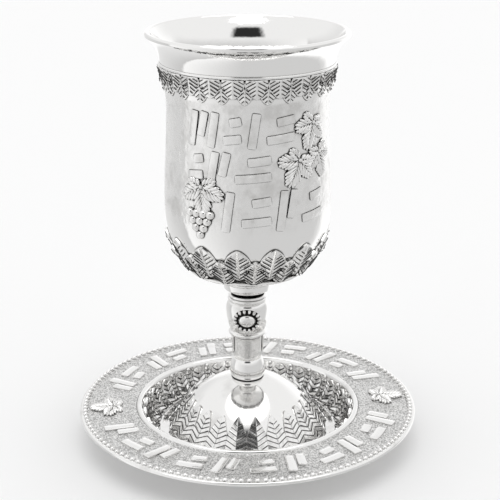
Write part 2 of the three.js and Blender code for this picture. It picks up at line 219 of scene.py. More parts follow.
# %% [markdown]
# ## Laying ornament on a wall
# A leaf is modelled flat, with its tip away from the maker, and a row of them is then laid on the
# round wall. Blender's bend turns about one radius only, and the wall's radius changes with its
# height, so each corner is moved by a rule of its own: how far it is along the wall's outline, how
# far round, and how far out. The height above the wall stays on the mesh as the attribute
# `proud`, which the metal's finish reads later to know the hollows from the tops.

# %% A wall that ornament lies on
class Wall:
    def __init__(self, outline):
        self.points = np.array(outline)
        steps = np.hypot(*np.diff(self.points, axis=0).T)
        self.run = np.concatenate([[0], np.cumsum(steps)])
        along = np.gradient(self.points, self.run, axis=0)
        self.out = np.stack([along[:, 1], -along[:, 0]], axis=1)
        self.out /= np.linalg.norm(self.out, axis=1)[:, None]

    def at_height(self, height):
        order = np.argsort(self.points[:, 1])
        return float(np.interp(height, self.points[order, 1], self.run[order]))

    def radius(self, run):
        return float(np.interp(run, self.run, self.points[:, 0]))

    def place(self, turn, run, off):
        middle = [np.interp(run, self.run, self.points[:, axis]) for axis in (0, 1)]
        out = [np.interp(run, self.run, self.out[:, axis]) for axis in (0, 1)]
        radius = middle[0] + off * out[0]
        return np.stack([radius * np.sin(turn), -radius * np.cos(turn), middle[1] + off * out[1]], axis=1)


def corners_of(piece):
    corners = np.empty(3 * len(piece.data.vertices), np.float32)
    piece.data.vertices.foreach_get("co", corners)
    return corners.reshape(-1, 3).astype(float)


def laid_on(wall, piece, spread, start=0.0, turn=0.0):
    """Lays a flat piece on a wall: its X goes round, its Y along the wall and its Z out."""
    alone(piece)
    bpy.ops.object.transform_apply(location=True, rotation=True, scale=True)
    across, up, off = corners_of(piece).T
    proud = piece.data.attributes.new("proud", "FLOAT", "POINT")
    proud.data.foreach_set("value", off.astype(np.float32))
    placed = wall.place(math.radians(turn) + across / spread, start + up, off)
    piece.data.vertices.foreach_set("co", placed.astype(np.float32).ravel())
    piece.data.update()
    return piece


# %% [markdown]
# ## The metal
# All of it is one silver with two finishes: polished, and oxidised where the buff can't reach. On
# the real cup the whole casting is dipped black and then polished, so the black stays in grooves,
# round raised edges and in the pits of the stippled ground. The same thing is worked out here from
# two masks: how deep a place lies below the ornament's tops, and how closed in it is. Shader maths
# is written as Python: `Wire` holds a socket, and an expression on wires adds the nodes.

# %% A socket with Python's operators
class Wire:
    def __init__(self, tree, socket=None):
        self.tree = tree
        self.socket = socket

    def node(self, kind, settings=(), values=(), output=0):
        """Adds any node: its settings first, then the values or links of its sockets."""
        made = self.tree.nodes.new("ShaderNode" + kind)
        for name, value in dict(settings).items():
            if name == "stops":
                for place, grey in value[2:]:
                    made.color_ramp.elements.new(place)
                stops = sorted(made.color_ramp.elements, key=lambda stop: stop.position)
                for stop, (place, grey) in zip(stops, sorted(value), strict=True):
                    stop.position = place
                    stop.color = (grey, grey, grey, 1)
            else:
                setattr(made, name, value)
        for name, value in dict(values).items():
            if isinstance(value, Wire):
                self.tree.links.new(value.socket, made.inputs[name])
            else:
                made.inputs[name].default_value = value
        return Wire(self.tree, made.outputs[output])

    def maths(self, operation, first, second, clamp=False):
        return self.node("Math", {"operation": operation, "use_clamp": clamp}, {0: first, 1: second})

    def __add__(self, other):
        return self.maths("ADD", self, other)

    __radd__ = __add__

    def __sub__(self, other):
        return self.maths("SUBTRACT", self, other)

    def __rsub__(self, other):
        return self.maths("SUBTRACT", other, self)

    def __mul__(self, other):
        return self.maths("MULTIPLY", self, other)

    __rmul__ = __mul__

    def __pow__(self, other):
        return self.maths("POWER", self, other)

    def least(self, other):
        return self.maths("MINIMUM", self, other)

    def most(self, other):
        return self.maths("MAXIMUM", self, other)

    def between(self, low, high):
        """A soft step: 0 up to low, 1 from high."""
        settings = {"interpolation_type": "SMOOTHSTEP"}
        return self.node("MapRange", settings, {"Value": self, "From Min": low, "From Max": high})


def mixed(share, first, second):
    settings = {"data_type": "RGBA", "clamp_factor": True}
    return share.node("Mix", settings, {0: share, 6: first, 7: second}, output=2)


def noise(source, scale, detail=3.0, rough=0.5):
    where = source.node("TexCoord", output=3)
    return source.node("TexNoise", values={"Vector": where, "Scale": scale, "Detail": detail, "Roughness": rough})


# %% [markdown]
# A bright, silvered casting shows the studio more than itself, so its colour stays near white and
# a little warm, and what makes it read is the black in its hollows. Three masks give the black: the
# grooves marked while a leaf is cut, how low a place lies on its ornament, and how closed in it is.
# Only the base colour, the roughness and the bump change over a surface.

# %% The finishes
BRIGHT = (0.93, 0.925, 0.915, 1)
DULL = (0.66, 0.65, 0.635, 1)
OXIDE = (0.016, 0.015, 0.014, 1)


def new_material(name):
    material = bpy.data.materials.new(name)
    material.use_nodes = True
    tree = material.node_tree
    shader = tree.nodes["Principled BSDF"]
    shader.inputs["Metallic"].default_value = 1.0
    return material, Wire(tree), shader


def feed(tree, shader, **wires):
    for name, wire in wires.items():
        tree.links.new(wire.socket, shader.inputs[name.replace("_", " ")])


def bumped(source, height, strength, distance):
    return source.node("Bump", values={"Height": height, "Strength": strength, "Distance": distance})


def closed_in(source, reach):
    """1 in a corner that is closed in within reach, 0 in the open."""
    return 1 - source.node("AmbientOcclusion", {"samples": 12}, {"Distance": reach}, output=1)


def kept(source, name):
    """A value that was stored in the mesh while it was modelled."""
    return source.node("Attribute", {"attribute_name": name}, output=2)


def height_of(source):
    return source.node("SeparateXYZ", values={"Vector": source.node("TexCoord", output=3)}, output=2)


def polished_silver(name, rough=0.06, black=(0.3, 0.6), reach=0.0009):
    """Mirror metal with a little haze, and black left in its corners."""
    material, source, shader = new_material(name)
    corner = closed_in(source, reach).between(*black)
    haze = noise(source, 90, 4)
    feed(
        source.tree, shader,
        Base_Color=mixed(corner, mixed(haze.between(0.5, 0.9), BRIGHT, DULL), OXIDE),
        Roughness=rough + 0.08 * haze + 0.4 * corner,
        Normal=bumped(source, noise(source, 60, 2), 0.10, 0.0008),
    )
    return material


def bowl_silver(name):
    """Polished at the lip and the base, and softly hammered, brushed and clouded between the bands."""
    material, source, shader = new_material(name)
    height = height_of(source)
    field = height.between(0.086, 0.094) * (1 - height.between(0.1325, 0.1335))
    corner = closed_in(source, 0.0013).between(0.16, 0.4)
    cloud = noise(source, 130, 5, 0.62)
    worn = noise(source, 420, 3, 0.6)
    dirt = (cloud.between(0.46, 0.70) * 0.6 + worn.between(0.5, 0.8) * 0.3) * field
    beaten = noise(source, 210, 2) * 0.8 + worn * 0.2
    feed(
        source.tree, shader,
        Base_Color=mixed(corner, mixed(dirt, BRIGHT, DULL), OXIDE),
        Roughness=0.05 + 0.22 * field + 0.12 * dirt + 0.4 * corner,
        Normal=bumped(source, beaten, (0.05 + 0.42 * field), 0.0012),
    )
    return material


def relief_silver(name, low=0.04, high=0.22, rough=0.13):
    """Buffed tops over black hollows."""
    material, source, shader = new_material(name)
    hollow = 1 - kept(source, "proud").between(low, high)
    corner = closed_in(source, 0.0007).between(0.42, 0.8)
    black = kept(source, "groove").between(0.15, 0.85).most(hollow).most(corner)
    patchy = noise(source, 600, 3)
    feed(
        source.tree, shader,
        Base_Color=mixed(black, mixed(patchy.between(0.45, 0.75) * 0.5, BRIGHT, DULL), OXIDE),
        Roughness=rough + 0.3 * black + 0.1 * patchy,
        Normal=bumped(source, noise(source, 1800, 3), 0.10, 0.0001),
    )
    return material


def stippled_silver(name):
    """A ground punched all over: bright rims of the punch marks, and black in the pits."""
    material, source, shader = new_material(name)
    where = source.node("TexCoord", output=3)
    pits = source.node("TexVoronoi", values={"Vector": where, "Scale": 1500, "Randomness": 0.9})
    grains = noise(source, 1900, 3, 0.65)
    low = 1 - height_of(source).between(0.01108, 0.01128)
    corner = closed_in(source, 0.0012).between(0.45, 0.85)
    black = (grains.between(0.38, 0.66) * 0.62 + low * 0.15).most(corner)
    feed(
        source.tree, shader,
        Base_Color=mixed(black, BRIGHT, OXIDE),
        Roughness=0.28 + 0.25 * black,
        Normal=bumped(source, pits * 0.6 + grains * 0.8, 0.6, 0.0003),
    )
    return material


# %% [markdown]
# ## The bowl
# The bowl is a deep beaker: a flared lip, a thin round ring where the flare begins, a slightly
# waisted wall, a full belly and a tucked base that stands in a shallow dish. It is hollow, with
# a wall of 1.8 mm. One outline goes up the outside and down the inside, and is spun once.

# %% Turn the bowl
BOWL_WALL = 1.8
SEAT = 9.0
DISH = (21.7, 66.9)
TUCK = (20.8, 67.9)
BELLY = (30.0, 91.0)
WAIST = (28.75, 127.0)
THROAT = (30.9, 142.3)
LIP = (35.9, LIP_TOP - 1.1)
INNER_FLOOR = 63.0


def bowl_radius(height):
    if height < BELLY[1]:
        down = (BELLY[1] - height) / (BELLY[1] - TUCK[1])
        return BELLY[0] - (BELLY[0] - TUCK[0]) * down**2.5
    if height < WAIST[1]:
        up = (height - BELLY[1]) / (WAIST[1] - BELLY[1])
        return BELLY[0] + (WAIST[0] - BELLY[0]) * (1 - math.cos(math.pi * up)) / 2
    up = (height - WAIST[1]) / (THROAT[1] - WAIST[1])
    return WAIST[0] + (THROAT[0] - 0.5 - WAIST[0]) * up**1.6


def heights(low, high, step=1.5):
    count = max(1, round(abs(high - low) / step))
    return [low + (high - low) * index / count for index in range(count + 1)]


def wall_points(low, high, sunk=0.0, step=1.5):
    return [(bowl_radius(height) - sunk, height) for height in heights(low, high, step)]


flare = curve(
    (THROAT[0], THROAT[1] + 0.5), (31.0, 147.6), (33.4, 150.0), end=(LIP[0] - 0.05, LIP[1] - 0.35), steps=16
)
inner_flare = curve(
    (LIP[0] - 2.0, LIP[1] + 0.75), (31.6, 149.6), (29.4, 147.6), end=(bowl_radius(THROAT[1]) - BOWL_WALL, THROAT[1]),
    steps=16,
)
bowl_outline = [
    (0, BOWL_FOOT),
    (5.7, BOWL_FOOT),
    (6.1, BOWL_FOOT + 0.3),
    (SEAT - 0.2, 58.2),
    (SEAT, 58.6),
    (SEAT, 60.6),
    *arc((SEAT + 0.05, 61.4), 0.6, -70, 80, 7),
    *curve((SEAT + 0.6, 62.1), (14, 63.6), end=(21.0, 66.1), steps=8),
    *arc((21.0, 66.85), 0.72, -70, 85, 8),
    (TUCK[0] + 0.05, TUCK[1] - 0.15),
    *wall_points(TUCK[1], THROAT[1] - 0.8),
    *arc((THROAT[0] - 0.3, THROAT[1] - 0.15), 0.62, -70, 70, 8),
    *flare[1:],
    *arc((LIP[0] - 1.05, LIP[1]), 1.08, 0, 140, 9),
    *inner_flare,
    *wall_points(THROAT[1] - 1, 72, BOWL_WALL, 3)[:-1],
    *curve((bowl_radius(72) - BOWL_WALL, 72), (18, INNER_FLOOR), end=(0, INNER_FLOOR), steps=14),
]
bowl_wall = turned("bowl_wall", bowl_outline)
bowl_side = Wall(wall_points(TUCK[1], THROAT[1], step=0.5))
print(f"bowl: {len(bowl_outline)} points turned into {len(bowl_wall.data.polygons)} faces")
# %% [markdown]
# ## A leaf
# Each leaf band is a row of one leaf. The carver's leaf is a low cushion with slanting grooves on
# both sides of a midrib. So half a leaf is drawn flat, its veins are cut across it by bisecting,
# the grooves are inset and pushed down, and a mirror makes the other half. Then the midrib is
# pulled up, which swells the leaf, and its edge is pulled down into a closed casting.

# %% Model one leaf
SUNK = 0.4


def mark(piece, name):
    """Stores 1 at the selected corners, for the finish."""
    marks = piece.data.attributes.new(name, "FLOAT", "POINT")
    marks.data.foreach_set("value", [float(corner.select) for corner in piece.data.vertices])


def leaf(name, half, veins, slope=40, groove=0.42, rib=0.3, border=0.0, deep=0.55, edge=0.45, crown=0.8):
    """half is the right side's outline from the root, along the edge, to the tip."""
    long = half[-1][1]
    wide = max(x for x, y in half)
    climb = Vector((-math.sin(math.radians(slope)), math.cos(math.radians(slope)), 0))
    lowest = -wide * math.tan(math.radians(slope)) * 0.8
    highest = long * 0.8 - border
    starts = [lowest + (highest - lowest) * (vein + 0.5) / veins for vein in range(veins)]
    width = groove * (highest - lowest) / veins
    piece = drawn(name, [(0, 0, 0), *[(x, y, 0) for x, y in half]], closed=True)
    with bench(piece):
        pick_all()
        bpy.ops.mesh.bisect(plane_co=(rib, 0, 0), plane_no=(1, 0, 0), threshold=WELD)
        pick(piece, lambda middle: middle.x > rib)
        if border:
            bpy.ops.mesh.inset(thickness=border, depth=0)
        bpy.ops.mesh.hide(unselected=True)
        for start in starts:
            for side in (start, start + width):
                pick_all()
                bpy.ops.mesh.bisect(plane_co=(rib, side, 0), plane_no=climb, threshold=WELD)

        def in_a_groove(middle):
            level = (middle - Vector((rib, 0, 0))).dot(climb) / climb.y
            return any(start < level < start + width for start in starts)

        pick(piece, in_a_groove)
        bpy.ops.mesh.inset(thickness=0.28 * width, depth=-deep)
    mark(piece, "groove")
    with bench(piece):
        bpy.ops.mesh.reveal(select=False)
    modified(piece, "MIRROR", use_axis=(True, False, False), merge_threshold=10 * WELD)
    modified(piece, "BEVEL", width=0.06, segments=1, limit_method="ANGLE", angle_limit=math.radians(30))
    with bench(piece, "EDGE"):
        pick(piece, lambda middle: abs(middle.x) < 0.01, "edges")
        bpy.ops.transform.translate(
            value=(0, 0, crown), use_proportional_edit=True,
            proportional_edit_falloff="SPHERE", proportional_size=wide,
        )
        pick_all()
        moved(out=edge)
        bpy.ops.mesh.select_all(action="DESELECT")
        bpy.ops.mesh.select_non_manifold()
        for grow, drop in ((1.03, 0.12), (1.02, edge + SUNK)):
            bpy.ops.mesh.extrude_region_move(TRANSFORM_OT_translate={"value": (0, 0, -drop)})
            scaled(grow, grow, 1, about=(0, long / 2, 0))
        scaled(out=0, about=(0, 0, -SUNK))
        bpy.ops.mesh.fill()
        pick_all()
        bpy.ops.mesh.normals_make_consistent(inside=False)
    return piece


def strip_of(piece, count, spread, offset=0.0):
    """A row of copies that goes once round a wall of this radius."""
    pitch = 2 * math.pi * spread / count
    alone(piece)
    bpy.ops.transform.translate(value=(offset * pitch, 0, 0))
    return modified(
        piece, "ARRAY", count=count, use_relative_offset=False,
        use_constant_offset=True, constant_offset_displace=(pitch, 0, 0),
    )


def leaf_edge(wide, long, root=0.5, full=0.35, blunt=0.3):
    """Right edge of a leaf: its half width at the root, where it is fullest, and how blunt its tip is."""
    belly = curve((root * wide, 0), (wide * 1.02, long * full * 0.4), end=(wide, long * full), steps=4)
    tip = curve((wide, long * full), (wide * 0.98, long * (full + 0.22)), (wide * blunt, long * 0.95), end=(0, long), steps=8)
    return belly + tip[1:]


# %% [markdown]
# ## The leaf bands of the bowl
# Under the lip hang 24 broad leaves, side by side, and a small leaf shows below each gap. Round
# the base stand 14 leaves, and 14 more rise from behind them. The band is cast with the bowl, so
# it reaches a little into the wall.

# %% The band under the lip
UPPER_LEAVES = 24
UPPER_ROOT, UPPER_TIP, UPPER_BACK = 141.6, 135.1, 132.9
upper_spread = bowl_side.radius(bowl_side.at_height(138))
upper_half = math.pi * upper_spread / UPPER_LEAVES - 0.12

hanging_leaf = leaf(
    "hanging_leaf", leaf_edge(upper_half, UPPER_ROOT - UPPER_TIP, 0.86, 0.3, 0.55), 5,
    slope=34, groove=0.4, rib=0.22, border=0.16, crown=0.55
)
hanging_row = strip_of(hanging_leaf, UPPER_LEAVES, upper_spread)
peeping_leaf = leaf(
    "peeping_leaf", leaf_edge(0.64 * upper_half, 5.6, 0.3, 0.52, 0.34), 4,
    groove=0.42, rib=0.12, border=0.16, deep=0.4, edge=0.3, crown=0.35
)
alone(peeping_leaf)
bpy.ops.transform.translate(value=(0, UPPER_ROOT - UPPER_BACK - 5.6, 0))
peeping_row = strip_of(peeping_leaf, UPPER_LEAVES, upper_spread, 0.5)
upper_leaf_band = joined("upper_leaf_band", [hanging_row, peeping_row])
rotated(math.pi)
laid_on(bowl_side, upper_leaf_band, upper_spread, bowl_side.at_height(UPPER_ROOT))
print(f"upper band: {len(upper_leaf_band.data.polygons)} faces")

# %% The band round the base
LOWER_LEAVES = 14
lower_spread = bowl_side.radius(bowl_side.at_height(74))
lower_root, lower_tip = (bowl_side.at_height(height) for height in (68.3, 77.6))
back_root, back_tip = (bowl_side.at_height(height) for height in (69.8, 82.0))
front_leaf = leaf(
    "front_leaf", leaf_edge(4.5, lower_tip - lower_root, 0.45, 0.42, 0.42), 7, border=0.18, deep=0.6, edge=0.7, crown=0.7
)
front_row = strip_of(front_leaf, LOWER_LEAVES, lower_spread)
back_leaf = leaf(
    "back_leaf", leaf_edge(4.5, back_tip - back_root, 0.1, 0.52, 0.45), 8, border=0.18, deep=0.6, crown=0.55
)
alone(back_leaf)
bpy.ops.transform.translate(value=(0, back_root - lower_root, 0))
back_row = strip_of(back_leaf, LOWER_LEAVES, lower_spread, 0.5)
lower_leaf_band = joined("lower_leaf_band", [front_row, back_row])
laid_on(bowl_side, lower_leaf_band, lower_spread, lower_root)
print(f"lower band: {len(lower_leaf_band.data.polygons)} faces")
# %% [markdown]
# ## Vine leaves and grapes
# A vine leaf on the cup is a fan of five lobes, and each lobe is a feather of plump petals on both
# sides of a black vein. One petal is an egg pinched at its root. It is copied along the veins, and
# flat eggs under each lobe close the gaps, so the black shows between the petals.

# %% Model a petal, and fan it into a vine leaf
LOBES = [(0, 10.0), (-64, 8.4), (64, 8.4), (-112, 5.6), (112, 5.6)]
PETAL_WIDTH = 1.45


def egg(name, wide, long, tall, pinch, lift=0.0, sides=10):
    """An egg with its pinched root at the origin and its length along Y."""
    piece = added("uv_sphere", name, segments=sides, ring_count=6, radius=0.5)
    with bench(piece, "VERT"):
        pick_all()
        bpy.ops.transform.rotate(value=math.pi / 2, orient_axis="X", center_override=(0, 0, 0))
        scaled(wide, long, tall)
        pick(piece, lambda middle: middle.y < -0.2 * long, "verts")
        scaled(pinch, 1, 1)
        pick_all()
        moved(up=long / 2, out=lift)
    return piece


def put(piece, turn, across=0.0, up=0.0):
    """Turns a piece clockwise from straight up, and moves its root."""
    alone(piece)
    rotated(-turn)
    bpy.ops.transform.translate(value=(across, up, 0))
    return piece


def vine_leaf(name):
    petal = egg("petal", PETAL_WIDTH, 1.0, 1.5, 0.6, 0.35)
    pieces = []
    for angle, long in LOBES:
        turn = math.radians(angle)
        ahead = (math.sin(turn), math.cos(turn))
        pieces.append(put(egg("lobe", 0.58 * long, 0.96 * long, 0.9, 0.7), turn))
        pairs = round(long / 2.2)
        for pair in range(pairs):
            share = pair / pairs
            reach = long * (0.62 - 0.22 * share) * (0.8 if pair == 0 else 1)
            splay = math.radians(40 - 24 * share)
            for side in (-1, 1):
                one = copied(petal)
                alone(one)
                scaled(1, reach, 1)
                start = long * (0.08 + 0.62 * share)
                pieces.append(put(one, turn + side * splay, start * ahead[0], start * ahead[1]))
        tip = copied(petal)
        scaled(0.8, 0.34 * long, 0.9)
        pieces.append(put(tip, turn, 0.68 * long * ahead[0], 0.68 * long * ahead[1]))
    bpy.data.objects.remove(petal)
    knob = added("uv_sphere", "knob", segments=10, ring_count=6, radius=0.62, location=(0, 0, 0.75))
    return joined(name, [*pieces, knob])


vine_pattern = vine_leaf("vine_pattern")
print(f"vine leaf: {len(vine_pattern.data.polygons)} faces")

# %% [markdown]
# Four vine leaves are set on the bowl: one hangs over the bunch of grapes, and three are grouped
# on the other side of the words. Two more lie on the saucer's rim, at its left and right. Each is
# turned, and stretched a little, because the carver cut each one by eye.

# %% Set the vine leaves and the grapes on the bowl
DEGREE = math.radians(29.3)
ROOM = 4.25
GRAPE = 1.5
BUNCH = (-38.3, 94.4)
GRAPE_ROWS = [(-3.9, -1.3, 1.3, 3.9), (-2.75, 0.0, 2.75), (-1.4, 1.4), (0.0,)]
GRAPE_PITCH = 2.5
BOWL_VINES = [
    (-37.4, 104.0, 1.06, 176),
    (43.2, 125.1, 0.98, 197),
    (30.8, 112.9, 1.0, 206),
    (50.0, 114.3, 0.95, 166),
]
flat_height = bowl_side.at_height(LIP_TOP / 2)


def vine_on_bowl(angle, height, size, turn):
    one = copied(vine_pattern)
    scaled(size, size, 1)
    return put(one, math.radians(turn), angle * DEGREE, bowl_side.at_height(height) - flat_height)


def grape_bunch():
    pieces = []
    for row, places in enumerate(GRAPE_ROWS):
        height = bowl_side.at_height(BUNCH[1] - row * GRAPE_PITCH) - flat_height
        for place in places:
            middle = (BUNCH[0] * DEGREE + place, height, 0.35)
            pieces.append(added("uv_sphere", "grape", segments=20, ring_count=12, radius=GRAPE, location=middle))
    return joined("grape_bunch", pieces)


bowl_vines = joined("bowl_vine_leaves", [vine_on_bowl(*place) for place in BOWL_VINES])
laid_on(bowl_side, bowl_vines, 29.3, flat_height)
grapes = laid_on(bowl_side, grape_bunch(), 29.3, flat_height)
print(f"grapes: {sum(len(row) for row in GRAPE_ROWS)}, vine leaves on the bowl: {len(BOWL_VINES)}")

# %% [markdown]
# ## The words' place
# Where words would stand, plain strokes keep their rhythm: rows of cells, and in each cell either
# leaning uprights or two level bars. A stroke is a block with rounded corners and a soft top edge,
# cut across its length so that it can follow the round wall.

# %% Model a stroke, and fill a cell
def stroke(start, end, width, rise):
    across, up = end[0] - start[0], end[1] - start[1]
    long = math.hypot(across, up)
    piece = added("cube", "stroke", size=1)
    with bench(piece, "EDGE"):
        pick_all()
        scaled(width, long, rise + SUNK)
        moved(up=long / 2, out=(rise - SUNK) / 2)
        pick(piece, lambda middle: abs(middle.z - (rise - SUNK) / 2) < WELD, "edges")
        bpy.ops.mesh.bevel(offset=0.12 * width, segments=2, affect="EDGES")
        pick(piece, lambda middle: middle.z > rise - WELD, "faces")
        bpy.ops.mesh.select_mode(type="FACE")
        pick(piece, lambda middle: middle.z > rise - WELD, "faces")
        bpy.ops.mesh.bevel(offset=0.35 * rise, segments=2, affect="EDGES")
        for cut in range(1, math.ceil(long / 1.6)):
            pick_all()
            bpy.ops.mesh.bisect(plane_co=(0, 1.6 * cut, 0), plane_no=(0, 1, 0), threshold=WELD)
    return put(piece, math.atan2(across, up), *start)


def cell_strokes(low, high, left, right, level, width, rise):
    """Leaning uprights, or two level bars, in a cell given by its sides."""
    strokes = []
    tall, wide = high - low, right - left
    if level:
        for line in (0.25, 0.75):
            height = low + tall * line
            short = 0.35 * wide if line > 0.5 else 0
            strokes.append(stroke((left + short, height - 0.4), (right, height + 0.4), width, rise))
        return strokes
    count = max(1, round(wide / ROOM))
    for line in range(count):
        place = left + wide * (line + 0.5) / count
        short = 0.3 * tall if line % 2 else 0
        strokes.append(stroke((place - 0.9, low + short), (place + 0.9, high), width, rise))
    return strokes


# %% Set the strokes on the bowl
SCRIPT_ROWS = [
    (118, 130, -48.5, (23, 12, 10, 20), 3.6),
    (105, 116.5, -48.5, (12, 16, 24), 3.3),
    (89, 103, -23.5, (10, 19.5, 15, 20), 4.0),
]


def bowl_script():
    strokes = []
    for row, (low, high, start, widths, gap) in enumerate(SCRIPT_ROWS):
        left = start
        for cell, width in enumerate(widths):
            sides = (left * DEGREE, (left + width) * DEGREE)
            floor, top = (bowl_side.at_height(height) - flat_height for height in (low, high))
            strokes += cell_strokes(floor, top, *sides, (cell + row) % 2 == 1, 2.9, 0.45)
            left += width + gap
    return joined("bowl_strokes", strokes)


bowl_strokes = laid_on(bowl_side, bowl_script(), 29.3, flat_height)
print(f"bowl strokes: {len(bowl_strokes.data.polygons)} faces")
# %% [markdown]
# ## The stem
# The stem is a turned casting: a barrel collar that is screwed down on the foot, a shaft, a knop
# between rings, and a neck under the bowl.

# %% Turn the stem
KNOP_WIDEST = (8.05, 50.0)
SHAFT_LOW, SHAFT_HIGH = 30.3, 39.8
SHAFT_RADII = (5.2, 5.65)
knop_line = [
    *arc((6.5, 40.65), 0.65, -80, 70, 7),
    (6.45, 41.55),
    *curve((6.5, 41.8), (7.1, 43.6), (8.0, 46.2), end=KNOP_WIDEST, steps=12),
    *curve(KNOP_WIDEST, (8.0, 51.6), (7.6, 52.6), end=(6.95, 53.2), steps=6)[1:],
    *arc((6.8, 54.0), 0.62, -70, 70, 6),
    (6.75, 54.75),
    *arc((6.55, 55.25), 0.55, -60, 70, 5),
    (6.1, STEM_TOP),
]
stem_outline = [
    (0, STEM_FOOT),
    (5.8, STEM_FOOT),
    *curve((6.0, STEM_FOOT + 0.1), (6.5, STEM_FOOT + 1.0), end=(6.6, STEM_FOOT + 2.2), steps=6),
    *curve((6.62, 25.2), (6.5, 28.2), end=(5.55, 29.9), steps=10),
    (5.4, 30.15),
    (SHAFT_RADII[0], SHAFT_LOW),
    (SHAFT_RADII[1], SHAFT_HIGH),
    *knop_line,
    (0, STEM_TOP),
]
stem_body = turned("stem_body", stem_outline, 128)
shaft_side = Wall([(SHAFT_RADII[0], SHAFT_LOW), (sum(SHAFT_RADII) / 2, 35.0), (SHAFT_RADII[1], SHAFT_HIGH)])
knop_side = Wall(knop_line[9:])
print(f"stem: {len(stem_body.data.polygons)} faces")

# %% [markdown]
# Three round-bottomed panels stand on the shaft, each in a double border. A panel is drawn as one
# face, raised, and then inset again and again, up and down, as a chaser would step a frame. It is
# cut into narrow upright strips before it is laid on the shaft, so that it bends evenly.

# %% Model a panel of the shaft
PANELS = 3
SHAFT_SPREAD = 5.5
PANEL_HALF = math.radians(52) * SHAFT_SPREAD


def shaft_panel():
    low, shoulder, top = 0.7, 5.0, 8.9
    bottom = curve((-PANEL_HALF, shoulder), (-PANEL_HALF, low - 1.4), (PANEL_HALF, low - 1.4), end=(PANEL_HALF, shoulder), steps=20)
    piece = drawn("shaft_panel", [(x, y, -SUNK) for x, y in [*bottom, (PANEL_HALF, top), (-PANEL_HALF, top)]], closed=True)
    with bench(piece):
        pick_all()
        bpy.ops.mesh.extrude_region_move(TRANSFORM_OT_translate={"value": (0, 0, SUNK + 0.3)})
        for thickness, depth in ((0.3, 0.05), (0.12, -0.25), (0.15, 0.0), (0.1, 0.2), (0.22, 0.0), (0.12, -0.2)):
            bpy.ops.mesh.inset(thickness=thickness, depth=depth)
        for cut in range(-6, 7):
            pick_all()
            bpy.ops.mesh.bisect(plane_co=(0.7 * cut, 0, 0), plane_no=(1, 0, 0), threshold=WELD)
        pick_all()
        bpy.ops.mesh.normals_make_consistent(inside=False)
    return piece


shaft_panels = strip_of(shaft_panel(), PANELS, SHAFT_SPREAD)
laid_on(shaft_side, shaft_panels, SHAFT_SPREAD)
print(f"shaft panels: {len(shaft_panels.data.polygons)} faces")

# %% [markdown]
# The knop carries an oval cabochon in a ring of little drops, on the front and on the back.

# %% Model a medallion
MEDALLION_TURN = -7.5
CABOCHON = (3.1, 2.45)
DROP_OVAL = (4.6, 3.75)
DROPS = 16


def medallion():
    stone = added("uv_sphere", "cabochon", segments=48, ring_count=20, radius=1)
    scaled(*CABOCHON, 1.25)
    ring = added("torus", "bezel", major_segments=48, minor_segments=8, major_radius=1, minor_radius=0.07)
    scaled(CABOCHON[0] + 0.1, CABOCHON[1] + 0.1, 5)
    plate = added("uv_sphere", "plate", segments=48, ring_count=12, radius=1)
    scaled(DROP_OVAL[0] + 0.75, DROP_OVAL[1] + 0.75, 0.45)
    with bench(plate):
        pick_all()
    mark(plate, "groove")
    pieces = [stone, ring, plate]
    for drop in range(DROPS):
        turn = 2 * math.pi * (drop + 0.5) / DROPS
        one = egg("drop", 1.3, 1.5, 1.5, 0.9, 0.25)
        alone(one)
        bpy.ops.transform.translate(value=(0, -0.75, 0))
        pieces.append(put(one, turn, DROP_OVAL[0] * math.sin(turn), DROP_OVAL[1] * math.cos(turn)))
    return joined("medallion", pieces)


front_medallion = medallion()
back_medallion = copied(front_medallion)
knop_middle = knop_side.at_height(47.4)
laid_on(knop_side, front_medallion, KNOP_WIDEST[0], knop_middle, MEDALLION_TURN)
laid_on(knop_side, back_medallion, KNOP_WIDEST[0], knop_middle, MEDALLION_TURN + 180)
knop_medallions = joined("knop_medallions", [front_medallion, back_medallion])
print(f"medallions: {len(knop_medallions.data.polygons)} faces")

# %% [markdown]
# ## The foot
# The foot is a thin polished dome, hollow below, with a ring of 22 tall leaves that stand on its
# flange. Their veins are broad rolls with narrow black grooves between them.

# %% Turn the foot, and stand its leaves round it
FOOT_WALL = 1.2
FOOT_LEAVES = 22
FOOT_PHASE = 1.9
dome_top, dome_foot = (6.4, FOOT_TOP), (FOOT_EDGE - 0.6, FOOT_BASE + 1.3)
dome_line = curve(dome_top, (15, FOOT_TOP - 1.9), (25, 12), end=dome_foot, steps=40)
inner_dome = curve(
    dome_foot, (24.2, 11.2), (14.6, FOOT_TOP - 3.0), end=(6.4, FOOT_TOP - FOOT_WALL), steps=20
)
foot_outline = [
    (0, FOOT_TOP),
    *dome_line,
    (FOOT_EDGE - 0.35, FOOT_BASE + 1.15),
    *arc((FOOT_EDGE - 0.4, FOOT_BASE + 0.7), 0.4, 60, 0, 4),
    (FOOT_EDGE, FOOT_BASE),
    (FOOT_EDGE - 1.8, FOOT_BASE),
    *[(radius - 0.75, height) for radius, height in inner_dome[1:]],
    (0, FOOT_TOP - 2 * FOOT_WALL),
]
foot_dome = turned("foot_dome", foot_outline)
foot_side = Wall(dome_line[::-1])
foot_root, foot_tip = (foot_side.at_height(height) for height in (3.3, 14.4))
foot_spread = foot_side.radius((foot_root + foot_tip) / 2)
foot_half = math.pi * foot_spread / FOOT_LEAVES - 0.06
foot_leaf = leaf(
    "foot_leaf", leaf_edge(foot_half, foot_tip - foot_root, 0.96, 0.42, 0.24), 7,
    slope=30, groove=0.24, rib=0.1, deep=0.45, edge=0.35, crown=0.75,
)
foot_leaves = strip_of(foot_leaf, FOOT_LEAVES, foot_spread)
foot_leaves.name = "foot_leaves"
laid_on(foot_side, foot_leaves, foot_spread, foot_root, FOOT_PHASE)
print(f"foot: {len(foot_dome.data.polygons)} faces, its leaves {len(foot_leaves.data.polygons)}")
